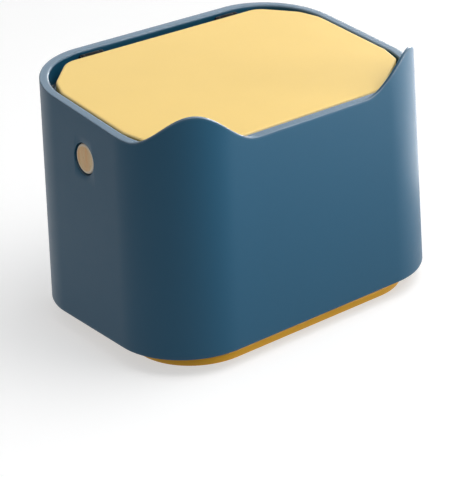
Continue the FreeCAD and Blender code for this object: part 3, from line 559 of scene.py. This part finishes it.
def sleeve_section(sizes, station):
    """Points and pale edge values of a section, wear and painted highlight: up the outside, over the
    rim and down the inside.
    """
    rise = ear_rise(sizes, station)
    base = rim_height(sizes, 0)
    for _ in range(RIM_ROUNDS):
        base = rim_height(sizes, station_point(station, sleeve_outline(sizes, base, 0)).y)
    foot = sizes.foot_rise
    section = []

    def wall(inset, z, wear_and_highlight=0.0):
        point = station_point(station, sleeve_outline(sizes, z, inset))
        section.append((Vector((point.x, point.y, z)), wear_and_highlight))

    def rim(inset, lift, wear_and_highlight=0.0):
        point = station_point(station, sleeve_outline(sizes, base + lift, inset))
        section.append((Vector((point.x, point.y, rim_height(sizes, point.y) + lift)), wear_and_highlight))

    def mouth(outset, lift, wear_and_highlight=0.0):
        point = station_point(station, mouth_outline(sizes, outset))
        section.append((Vector((point.x, point.y, rim_height(sizes, point.y) + lift)), wear_and_highlight))

    small = sizes.foot_round
    for inset, drop, _ in reversed(rounding(small, 45)):
        wall(inset, foot + drop, FOOT_WEAR_AND_HIGHLIGHT)
    edge = sizes.outer_round
    low, high = foot + small, base + rise - edge
    for share in OUTSIDE_SHARES:
        wall(0, low + (high - low) * share)
    wall(0, high - WALL_RING)
    # The outer top edge is paled: wear, and a painted highlight along the rim's edge
    for inset, drop, wear_and_highlight_share in rounding(edge, 15):
        rim(inset, rise - drop, OUTER_LEAST_WEAR_AND_HIGHLIGHT + (1 - OUTER_LEAST_WEAR_AND_HIGHLIGHT) * wear_and_highlight_share)

    # Where no ear rises, its inner edge and foot lie flat in the rim, a small step apart
    flat = FLAT_STEP * (1 - min(1.0, rise / EAR_APART))
    inner = min(sizes.ear_round, rise / 2)
    crest = rounding(inner, 18)
    # The ear's inner top edge is paled as it rises: wear, and a painted highlight along the ear's edge
    for step, (inset, drop, wear_and_highlight_share) in enumerate(reversed(crest)):
        rim(sizes.wall - inset + flat * step, rise - drop, wear_and_highlight_share * min(1.0, rise / EAR_WORN_AND_HIGHLIT))
    face = sizes.wall + flat * (len(crest) - 1)
    fillet = min(EAR_FILLET, rise / 4)
    for share in EAR_FACE_SHARES:
        rim(face + flat * share * EAR_FACE_STEPS, (rise - inner) * (1 - share) + fillet * share)
    face += flat * EAR_FACE_STEPS
    for step, (inset, drop, _) in enumerate(rounding(fillet, 30)):
        rim(face + inset + flat * step, drop)

    # The mouth's rounded edge is paled: wear, and a painted highlight line along the mouth
    edge = sizes.mouth_round
    mouth(edge + NEAR_RING, 0)
    for outset, drop, wear_and_highlight_share in reversed(rounding(edge, 15)):
        mouth(outset, -drop, MOUTH_LEAST_WEAR_AND_HIGHLIGHT + (1 - MOUTH_LEAST_WEAR_AND_HIGHLIGHT) * wear_and_highlight_share)
    skirt = -sizes.skirt_depth / math.cos(sizes.rim_slope)
    under = -sizes.land_thickness / math.cos(sizes.rim_slope)
    mouth(0, -edge - WALL_RING)
    mouth(0, skirt)
    mouth(sizes.skirt_wall, skirt)
    mouth(sizes.skirt_wall, under)
    rim(sizes.wall, under)
    for share in INSIDE_SHARES:
        wall(sizes.wall, foot + (base + under - foot) * share)
    wall(sizes.wall, foot + small)
    wall(sizes.wall - small, foot, FOOT_WEAR_AND_HIGHLIGHT)
    return section


def unpacked(rows):
    """Points of all rows in turn, and their pale edge values: wear and painted highlight."""
    return [point for row in rows for point, _ in row], [wear_and_highlight for row in rows for _, wear_and_highlight in row]


def solid_mesh(name, points, faces, wear_and_highlight=None):
    """Object with a mesh that carries each point's pale edge value: wear and painted highlight."""
    mesh = bpy.data.meshes.new(name)
    mesh.from_pydata(points, [], faces)
    marks = mesh.attributes.new("edge_wear", "FLOAT", "POINT")
    marks.data.foreach_set("value", wear_and_highlight or [0.0] * len(points))
    piece = bpy.data.objects.new(name, mesh)
    bpy.context.scene.collection.objects.link(piece)
    return piece


def carve(piece, operation, tools):
    """Join tools to a piece or cut them out of it, and keep the result as its mesh."""
    for tool in tools:
        change = piece.modifiers.new("Carve", "BOOLEAN")
        change.operation = operation
        change.solver = "EXACT"
        change.object = tool
    depsgraph = bpy.context.evaluated_depsgraph_get()
    carved = bpy.data.meshes.new_from_object(piece.evaluated_get(depsgraph))
    clean = bmesh.new()
    clean.from_mesh(carved)
    bmesh.ops.dissolve_degenerate(clean, dist=SLIVER, edges=clean.edges)
    clean.to_mesh(carved)
    clean.free()
    piece.modifiers.clear()
    piece.data = carved
    for tool in tools:
        bpy.data.objects.remove(tool)


def finish_piece(piece, body, material):
    """Smooth a piece, keep its sharp edges, and let it ride on a body."""
    mesh = piece.data
    mesh.shade_smooth()
    mesh.set_sharp_from_angle(angle=SHARP_ANGLE)
    mesh.materials.clear()
    mesh.materials.append(material)
    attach(piece, body)


def mesh_piece(name, points, faces, body, material, wear_and_highlight=None):
    """Make a smooth mesh that rides on a body."""
    piece = solid_mesh(name, points, faces, wear_and_highlight)
    finish_piece(piece, body, material)
    return piece


def ring_faces(rings, count):
    """Faces between rings of points that lie one after another."""
    faces = []
    for ring in range(rings - 1):
        low = ring * count
        high = low + count
        for step in range(count):
            after = (step + 1) % count
            faces.append((low + step, low + after, high + after, high + step))
    return faces


def capped_faces(rings, count):
    """Faces of a closed body between rings, with the first and last ring filled."""
    first = tuple(reversed(range(count)))
    last = tuple(range((rings - 1) * count, rings * count))
    return ring_faces(rings, count) + [first, last]


def hoop_faces(sections, count):
    """Faces of a hoop: closed sections joined all the way round."""
    faces = []
    for place in range(sections):
        here = place * count
        there = ((place + 1) % sections) * count
        for step in range(count):
            after = (step + 1) % count
            faces.append((here + step, there + step, there + after, here + after))
    return faces


def dress(node, material, soften=0.0):
    """Give a CAD piece its finish, and break its sharp edges by a small width."""
    piece = NODES[node]
    piece.data.materials.clear()
    piece.data.materials.append(material)
    if soften:
        weld = piece.modifiers.new("Join seams", "WELD")
        weld.merge_threshold = SLIVER
        bevel = piece.modifiers.new("Broken edges", "BEVEL")
        bevel.width = soften
        bevel.segments = 2
        bevel.limit_method = "ANGLE"
        bevel.angle_limit = BREAK_ANGLE
        bevel.use_clamp_overlap = True


def button_axes(sleeve, sizes):
    """Name, middle on the sleeve's outside, and outward, level and upward directions of each button."""
    drop = sleeve.skirt_depth / math.cos(sleeve.rim_slope) + sizes.skirt_gap
    z = rim_height(sleeve, 0) - drop
    for name, side in (("left", -1), ("right", 1)):
        out = Vector((side * math.cos(sleeve.side_draft), 0, math.sin(sleeve.side_draft)))
        across = Vector((0, side, 0))
        middle = Vector((side * sleeve_outline(sleeve, z, 0)[0], 0, z))
        yield name, middle, out, across, out.cross(across)


def turned(profile, axes, turns):
    """Points and faces of a turned solid from its radii and heights along an axis."""
    _, middle, out, across, up = axes
    points = []
    for radius, height in profile:
        for step in range(turns):
            turn = 2 * math.pi * (step + 0.5) / turns
            spoke = across * math.cos(turn) + up * math.sin(turn)
            points.append(middle + spoke * radius + out * height)
    return points, capped_faces(len(profile), turns)


def seat_cup(sleeve, sizes):
    """Radii and heights of the cup behind the wall that a button sits in."""
    radius = sizes.radius + sizes.seat_gap + sizes.seat_wall
    back = -sizes.seat_depth - sizes.seat_floor
    small = sizes.seat_lip
    return [(radius - small, back), (radius, back + small), (radius, -sleeve.wall / 2)]


def seat_hollow(sizes):
    """Radii and heights of the hollow of a button's seat, with the bore for its stem."""
    radius = sizes.radius + sizes.seat_gap
    bore = sizes.stem_radius + sizes.stem_gap
    floor = -sizes.seat_depth
    profile = [(bore, floor - 2 * sizes.seat_floor), (bore, floor), (radius, floor)]
    for outset, drop, _ in rounding(sizes.seat_lip, 18):
        profile.append((radius + outset, CUT_CLEAR - drop))
    profile.append((radius + sizes.seat_lip, sizes.seat_depth))
    return profile


class BIN_OT_sleeve(Operator):
    """Mould the blue sleeve with its two ears, sloping rim, skirt and button seats"""
    bl_idname = "litterbin.sleeve"
    bl_label = "Sleeve"

    def execute(self, context):
        sizes = context.scene.bin_sleeve
        button = context.scene.bin_button
        finishes = context.scene.bin_finishes
        sections = [sleeve_section(sizes, place) for place in stations(*SLEEVE_STATIONS)]
        points, wear_and_highlight = unpacked(sections)
        faces = hoop_faces(len(sections), len(sections[0]))
        material = moulded_plastic("Sleeve plastic", finishes.sleeve, sheen=0.40, grain=1500.0,
                                   depth=0.16)
        piece = solid_mesh("sleeve", points, faces, wear_and_highlight)
        axes = list(button_axes(sizes, button))
        cups = [turned(seat_cup(sizes, button), axis, button.turns) for axis in axes]
        carve(piece, "UNION", [solid_mesh("seat_cup", *cup) for cup in cups])
        hollows = [turned(seat_hollow(button), axis, button.turns) for axis in axes]
        carve(piece, "DIFFERENCE", [solid_mesh("seat_hollow", *hollow) for hollow in hollows])
        finish_piece(piece, "sleeve", material)
        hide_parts("outer_shell")
        return {"FINISHED"}


def bucket_rings(sleeve, sizes, places):
    """Rings of the bucket from the middle of its underside, up the outside and down to its floor."""
    mouth = mouth_outline(sleeve, -sizes.mouth_gap)
    high = drawn_in(mouth, sizes.flange_width)
    plinth = (sleeve.width / 2 - sizes.plinth_side_inset,
              sleeve.depth / 2 - sizes.plinth_face_inset, high[2])
    low = drawn_in(plinth, sizes.plinth_step)
    step_top = sizes.plinth_height + sizes.plinth_step
    top = sleeve.foot_rise + sleeve.height
    drop = sizes.rim_drop / math.cos(sleeve.rim_slope)
    thick = sizes.flange_thickness / math.cos(sleeve.rim_slope)
    small = sizes.edge_round
    rings = []

    def level(outline, inset, z, wear_and_highlight=0.0):
        """Ring at one height."""
        flat = [station_point(place, drawn_in(outline, inset)) for place in places]
        rings.append([(Vector((point.x, point.y, z)), wear_and_highlight) for point in flat])

    def slanted(inset, share, lift, wear_and_highlight=0.0):
        """Ring on the drafted wall a share of the way up, ending parallel to the rim."""
        start = step_top if inset <= 0 else sizes.floor + sizes.floor_round
        ring = []
        for place in places:
            point = station_point(place, drawn_in(high, inset))
            z = start + (rim_height(sleeve, point.y) - drop + lift - start) * share
            drafted = [foot + (head - foot) * z / top for foot, head in zip(low, high)]
            point = station_point(place, drawn_in(drafted, inset))
            ring.append((Vector((point.x, point.y, z)), wear_and_highlight))
        rings.append(ring)

    def flange(inset, lift, wear_and_highlight=0.0):
        """Ring on the rim's flange, parallel to the sleeve's rim."""
        flat = [station_point(place, drawn_in(mouth, inset)) for place in places]
        rings.append([(Vector((point.x, point.y, rim_height(sleeve, point.y) - drop + lift)), wear_and_highlight)
                      for point in flat])

    level(plinth, UNDERSIDE_RING, 0.0)
    level(plinth, 2 * small, 0.0)
    for inset, rise, _ in reversed(rounding(small, 45)):
        level(plinth, inset, rise, PLINTH_WEAR_AND_HIGHLIGHT)
    level(plinth, 0.0, sizes.plinth_height - small)
    # The plinth's step is paled: a painted highlight where light falls on its chamfer
    level(plinth, small * STEP_CREST, sizes.plinth_height + small * STEP_CREST, STEP_PAINTED_HIGHLIGHT)
    level(low, 0.0, step_top, FLANK_WEAR_AND_HIGHLIGHT)
    for share in BUCKET_SHARES + (1.0,):
        slanted(0.0, share, -thick)
    # The flange's edges and crest are paled: wear, and painted highlights along the rim
    flange(small, -thick)
    flange(0.0, -thick + small, FLANK_WEAR_AND_HIGHLIGHT)
    flange(0.0, -small, FLANK_WEAR_AND_HIGHLIGHT)
    flange(small * CREST, -small * CREST, CREST_WEAR_AND_HIGHLIGHT)
    flange(small, 0.0, FLANK_WEAR_AND_HIGHLIGHT)
    slanted(sizes.wall - small, 1.0, 0.0, FLANK_WEAR_AND_HIGHLIGHT)
    slanted(sizes.wall - small * CREST, 1.0, -small * CREST, CREST_WEAR_AND_HIGHLIGHT)
    slanted(sizes.wall, 1.0, -small, FLANK_WEAR_AND_HIGHLIGHT)
    for share in (*reversed(BUCKET_SHARES), 0.0):
        slanted(sizes.wall, share, -small)
    inside = drawn_in(low, sizes.wall)
    for inset, rise, _ in rounding(sizes.floor_round, 30)[1:]:
        level(inside, inset, sizes.floor + rise)
    level(inside, sizes.floor_round + FIELD_RING, sizes.floor)
    return rings


class BIN_OT_bucket(Operator):
    """Mould the yellow bucket with its plinth, rim flange and rounded floor"""
    bl_idname = "litterbin.bucket"
    bl_label = "Bucket"

    def execute(self, context):
        scene = context.scene
        finishes = scene.bin_finishes
        places = stations(*BUCKET_STATIONS)
        rings = bucket_rings(scene.bin_sleeve, scene.bin_bucket, places)
        points, wear_and_highlight = unpacked(rings)
        faces = capped_faces(len(rings), len(places))
        material = moulded_plastic("Bucket plastic", finishes.bucket, sheen=0.36, grain=1300.0,
                                   depth=0.14)
        piece = mesh_piece("bucket", points, faces, "bucket", material, wear_and_highlight)
        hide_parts("inner_bucket")
        return {"FINISHED"}


def lid_corners(sleeve, sizes, inset):
    """Corners of the lid in the rim's plane, anticlockwise from the right front, with roundings."""
    mouth_w, mouth_d, _ = mouth_outline(sleeve, 0)
    half = mouth_w - sizes.side_gap - inset
    slope = math.cos(sleeve.rim_slope)
    front = -(mouth_d - sizes.front_gap) / slope + inset
    back = mouth_d / slope - sizes.back_gap - inset
    front_x = half - sizes.front_bend
    back_x = half - sizes.back_bend
    along = sizes.front_clip_along
    right = [
        (front_x - sizes.front_clip_across, front, sizes.front_round),
        (front_x, front + along, sizes.front_round),
        (half, front + along + sizes.clip_lead, sizes.front_round),
        (half, back - sizes.back_clip - sizes.clip_lead, sizes.back_round),
        (back_x, back - sizes.back_clip, sizes.back_round),
        (back_x - sizes.back_clip, back, sizes.back_round),
    ]
    return right + [(-x, v, radius) for x, v, radius in reversed(right)]


def outward(side, way):
    """Normal of a side that points the way."""
    normal = Vector((side.y, -side.x))
    return -normal if normal.dot(way) < 0 else normal


def rounded_run(corners, steps):
    """Points and outward normals along an outline with rounded corners."""
    run = []
    count = len(corners)
    for index, (x, v, radius) in enumerate(corners):
        here = Vector((x, v))
        before = (Vector(corners[index - 1][:2]) - here).normalized()
        after = (Vector(corners[(index + 1) % count][:2]) - here).normalized()
        half = before.angle(after) / 2
        middle = here + (before + after).normalized() * (radius / math.sin(half))
        first, last = outward(before, here - middle), outward(after, here - middle)
        for step in range(steps + 1):
            normal = first.slerp(last, step / steps)
            run.append((middle + normal * radius, normal))
    return run


class BIN_OT_lid(Operator):
    """Mould the yellow lid with rounded edges, and finish its liner and rubber bumpers"""
    bl_idname = "litterbin.lid"
    bl_label = "Lid"

    def execute(self, context):
        scene = context.scene
        sleeve, sizes, finishes = scene.bin_sleeve, scene.bin_lid, scene.bin_finishes
        outline = rounded_run(lid_corners(sleeve, sizes, 0), LID_CORNER_STEPS)
        recess = rounded_run(lid_corners(sleeve, sizes, sizes.border), LID_CORNER_STEPS)
        tilt = Matrix.Rotation(sleeve.rim_slope, 4, "X")
        tilt.translation = (0, 0, rim_height(sleeve, 0))
        rings = []

        def ring(run, inset, w, wear_and_highlight=0.0):
            places = [point - normal * inset for point, normal in run]
            rings.append([(tilt @ Vector((place.x, place.y, w)), wear_and_highlight) for place in places])

        low, edge, under = sizes.low_round, sizes.edge_round, -sizes.thickness
        ring(recess, FIELD_RING, -sizes.skin)
        ring(recess, 0.0, -sizes.skin)
        ring(recess, 0.0, under + low, RECESS_WEAR_AND_HIGHLIGHT)
        ring(recess, -low, under, RECESS_WEAR_AND_HIGHLIGHT)
        ring(outline, 2 * low, under)
        for inset, rise, _ in reversed(rounding(low, 30)):
            ring(outline, inset, under + rise, LOW_EDGE_WEAR_AND_HIGHLIGHT)
        ring(outline, 0.0, under / 2)
        ring(outline, 0.0, -edge - NEAR_RING)
        # The top edge's rounding is paled: wear, and a painted highlight along the lid's edge
        for inset, drop, wear_and_highlight_share in rounding(edge, 15):
            ring(outline, inset, -drop, wear_and_highlight_share)
        ring(outline, edge + NEAR_RING, 0.0)
        ring(outline, edge + FIELD_RING, 0.0)
        points, wear_and_highlight = unpacked(rings)
        faces = capped_faces(len(rings), len(outline))
        # Low gloss: the lid's sheen is painted into its paled yellow instead
        material = moulded_plastic("Lid plastic", finishes.lid, sheen=0.46, grain=1400.0, depth=0.14,
                                   gloss=0.06)
        piece = mesh_piece("lid", points, faces, "lid", material, wear_and_highlight)
        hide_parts("lid_panel")
        liner = moulded_plastic("Liner plastic", finishes.liner, sheen=0.5, grain=1200.0, depth=0.2)
        dress("lid_liner", liner, FULL_BREAK)
        dress("lid_bumpers", soft_rubber("Bumper rubber", finishes.rubber))
        return {"FINISHED"}


class BIN_OT_buttons(Operator):
    """Turn the two wooden buttons on the sides"""
    bl_idname = "litterbin.buttons"
    bl_label = "Wooden buttons"

    def execute(self, context):
        scene = context.scene
        sleeve, sizes, finishes = scene.bin_sleeve, scene.bin_button, scene.bin_finishes
        material = beech_wood("Turned beech", finishes.beech, finishes.beech_late)
        back = -sizes.seat_depth
        stem_end = back - sizes.seat_floor + sizes.stem_short
        profile = [(STEM_RING, stem_end), (sizes.stem_radius, stem_end), (sizes.stem_radius, back)]
        profile += [(sizes.radius - BACK_BREAK, back), (sizes.radius, back + BACK_BREAK)]
        profile += [(sizes.radius, back + sizes.edge)]
        # From here the rounded rim rings are fully paled: sanded wood, and a painted highlight
        sanded_and_highlight = len(profile)
        wide, tall = sizes.radius - sizes.face_radius, sizes.thickness - sizes.edge
        for inset, drop, _ in rounding(1.0, 15)[1:]:
            profile.append((sizes.radius - wide * inset, back + sizes.thickness - tall * drop))
        flat = len(profile)
        for share in FACE_SHARES:
            swell = sizes.dome * (1 - share ** 2)
            profile.append((sizes.face_radius * share, back + sizes.thickness + swell))
        wear_and_highlight = []
        for ring in range(len(profile)):
            wear_and_highlight += [1.0 if sanded_and_highlight <= ring < flat else 0.0] * sizes.turns
        for axes in button_axes(sleeve, sizes):
            points, faces = turned(profile, axes, sizes.turns)
            piece = mesh_piece("button_" + axes[0], points, faces, "sleeve", material, wear_and_highlight)
            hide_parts("side_knob_" + axes[0])
        return {"FINISHED"}


class BIN_OT_seat_frame(Operator):
    """Finish the frame that carries the lid, and the grey rail of its hinges"""
    bl_idname = "litterbin.seat_frame"
    bl_label = "Seat frame and rail"

    def execute(self, context):
        finishes = context.scene.bin_finishes
        seat = moulded_plastic("Frame plastic", finishes.frame, sheen=0.5, grain=1400.0, depth=0.2)
        rail = moulded_plastic("Rail plastic", finishes.rail, sheen=0.46, grain=1400.0, depth=0.2)
        dress("seat_frame", seat, SMALL_BREAK)
        dress("hinge_rail", rail, FULL_BREAK)
        return {"FINISHED"}


class BIN_OT_hinges(Operator):
    """Finish the two friction hinges with their pins, clips and washers"""
    bl_idname = "litterbin.hinges"
    bl_label = "Hinges"

    def execute(self, context):
        finishes = context.scene.bin_finishes
        dark = moulded_plastic("Hinge plastic", finishes.hinge, sheen=0.72, grain=1700.0, depth=0.2,
                               gloss=0.12)
        steel = drawn_steel("Blackened steel", finishes.pin)
        for side in ("left", "right"):
            dress("hinge_bracket_" + side, dark, SMALL_BREAK)
            dress("hinge_leaf_" + side, dark, SMALL_BREAK)
            dress("hinge_pin_" + side, steel, FINE_BREAK)
        dress("pin_clips", steel)
        dress("friction_washers", steel)
        return {"FINISHED"}


class BIN_OT_fasteners(Operator):
    """Finish the screws and the washers behind the buttons"""
    bl_idname = "litterbin.fasteners"
    bl_label = "Screws and washers"

    def execute(self, context):
        steel = drawn_steel("Screw steel", context.scene.bin_finishes.steel)
        for place in ("frame", "rail", "bracket", "leaf", "knob"):
            dress(place + "_screws", steel)
        dress("knob_washers", steel)
        return {"FINISHED"}


def soft_light(name, place, target, width, height, power, spread=math.pi):
    """Soft box that faces a point, with a grid that narrows its beam to the spread."""
    lamp = bpy.data.lights.new(name, "AREA")
    lamp.shape = "RECTANGLE"
    lamp.size, lamp.size_y = width, height
    lamp.energy = power
    lamp.spread = spread
    light = bpy.data.objects.new(name, lamp)
    light.location = place
    light.rotation_euler = (Vector(target) - Vector(place)).to_track_quat("-Z", "Y").to_euler()
    bpy.context.scene.collection.objects.link(light)
    return light


class BIN_OT_stage(Operator):
    """Set the pale floor, the soft lights and the camera"""
    bl_idname = "litterbin.stage"
    bl_label = "Studio"

    def execute(self, context):
        scene = context.scene
        studio = scene.bin_studio
        mesh = bpy.data.meshes.new("studio_floor")
        half = FLOOR_HALF
        points = [(-half, -half, 0), (half, -half, 0), (half, half, 0), (-half, half, 0)]
        mesh.from_pydata(points, [], [(0, 1, 2, 3)])
        mesh.materials.append(studio_floor("Studio floor", scene.bin_finishes.floor, studio.floor_glow))
        floor = bpy.data.objects.new("studio_floor", mesh)
        scene.collection.objects.link(floor)
        floor.visible_diffuse = False
        world = bpy.data.worlds.new("White surround")
        world.use_nodes = True
        surround = world.node_tree.nodes["Background"]
        surround.inputs["Color"].default_value = (1, 1, 1, 1)
        surround.inputs["Strength"].default_value = studio.surround
        scene.world = world
        soft_light("light_top", place=(0.9, -0.7, 2.1), target=(0, 0, 0.1), width=2.2, height=2.2,
                   power=studio.top)
        soft_light("light_right", place=(1.75, -1.35, 0.24), target=(0, 0, 0.95), width=1.6, height=0.4,
                   power=studio.right, spread=studio.right_spread)
        for name, place, target, width, height, power in GLOSS_PANELS:
            panel = soft_light(name, place, target, width, height, getattr(studio, power))
            panel.visible_diffuse = False
            panel.visible_camera = False
        lens = bpy.data.cameras.new("camera")
        lens.lens = studio.lens
        lens.sensor_width = SENSOR
        lens.clip_start, lens.clip_end = SIGHT
        camera = bpy.data.objects.new("camera", lens)

        # The camera's own axes, from its turn round the bin, its lift and its roll
        back = Vector((math.sin(studio.turn) * math.cos(studio.lift),
                       -math.cos(studio.turn) * math.cos(studio.lift), math.sin(studio.lift)))
        level = Vector((math.cos(studio.turn), math.sin(studio.turn), 0))
        upright = back.cross(level)
        right = level * math.cos(studio.roll) + upright * math.sin(studio.roll)
        up = upright * math.cos(studio.roll) - level * math.sin(studio.roll)
        turn = Matrix((right, up, back)).transposed().to_4x4()
        camera.matrix_world = Matrix.Translation(studio.place) @ turn
        scene.collection.objects.link(camera)
        scene.camera = camera
        scene.view_settings.view_transform = "Standard"
        return {"FINISHED"}


class BIN_PT_panel(Panel):
    """Lists the pieces of the bin in the order in which they are made"""
    bl_idname = "BIN_PT_panel"
    bl_label = "Litter bin"
    bl_space_type = "VIEW_3D"
    bl_region_type = "UI"
    bl_category = "Litter bin"

    def draw(self, context):
        for maker in MAKERS:
            self.layout.operator(maker.bl_idname)
        for group in SETTINGS:
            settings = getattr(context.scene, group)
            for key in settings.bl_rna.properties.keys():
                if key not in ("rna_type", "name"):
                    self.layout.prop(settings, key)


MAKERS = (BIN_OT_sleeve, BIN_OT_bucket, BIN_OT_lid, BIN_OT_buttons, BIN_OT_seat_frame, BIN_OT_hinges,
          BIN_OT_fasteners, BIN_OT_stage)
SETTINGS = {
    "bin_sleeve": SleeveSizes,
    "bin_bucket": BucketSizes,
    "bin_lid": LidSizes,
    "bin_button": ButtonSizes,
    "bin_finishes": Finishes,
    "bin_studio": Studio,
}


def register():
    for group in SETTINGS.values():
        bpy.utils.register_class(group)
    for name, group in SETTINGS.items():
        setattr(bpy.types.Scene, name, PointerProperty(type=group))
    for maker in MAKERS:
        bpy.utils.register_class(maker)
    bpy.utils.register_class(BIN_PT_panel)


def unregister():
    bpy.utils.unregister_class(BIN_PT_panel)
    for maker in reversed(MAKERS):
        bpy.utils.unregister_class(maker)
    for name, group in SETTINGS.items():
        delattr(bpy.types.Scene, name)
        bpy.utils.unregister_class(group)


def main():
    register()
    bpy.ops.litterbin.sleeve()
    bpy.ops.litterbin.bucket()
    bpy.ops.litterbin.lid()
    bpy.ops.litterbin.buttons()
    bpy.ops.litterbin.seat_frame()
    bpy.ops.litterbin.hinges()
    bpy.ops.litterbin.fasteners()
    bpy.ops.litterbin.stage()


if __name__ == "__main__":
    main()
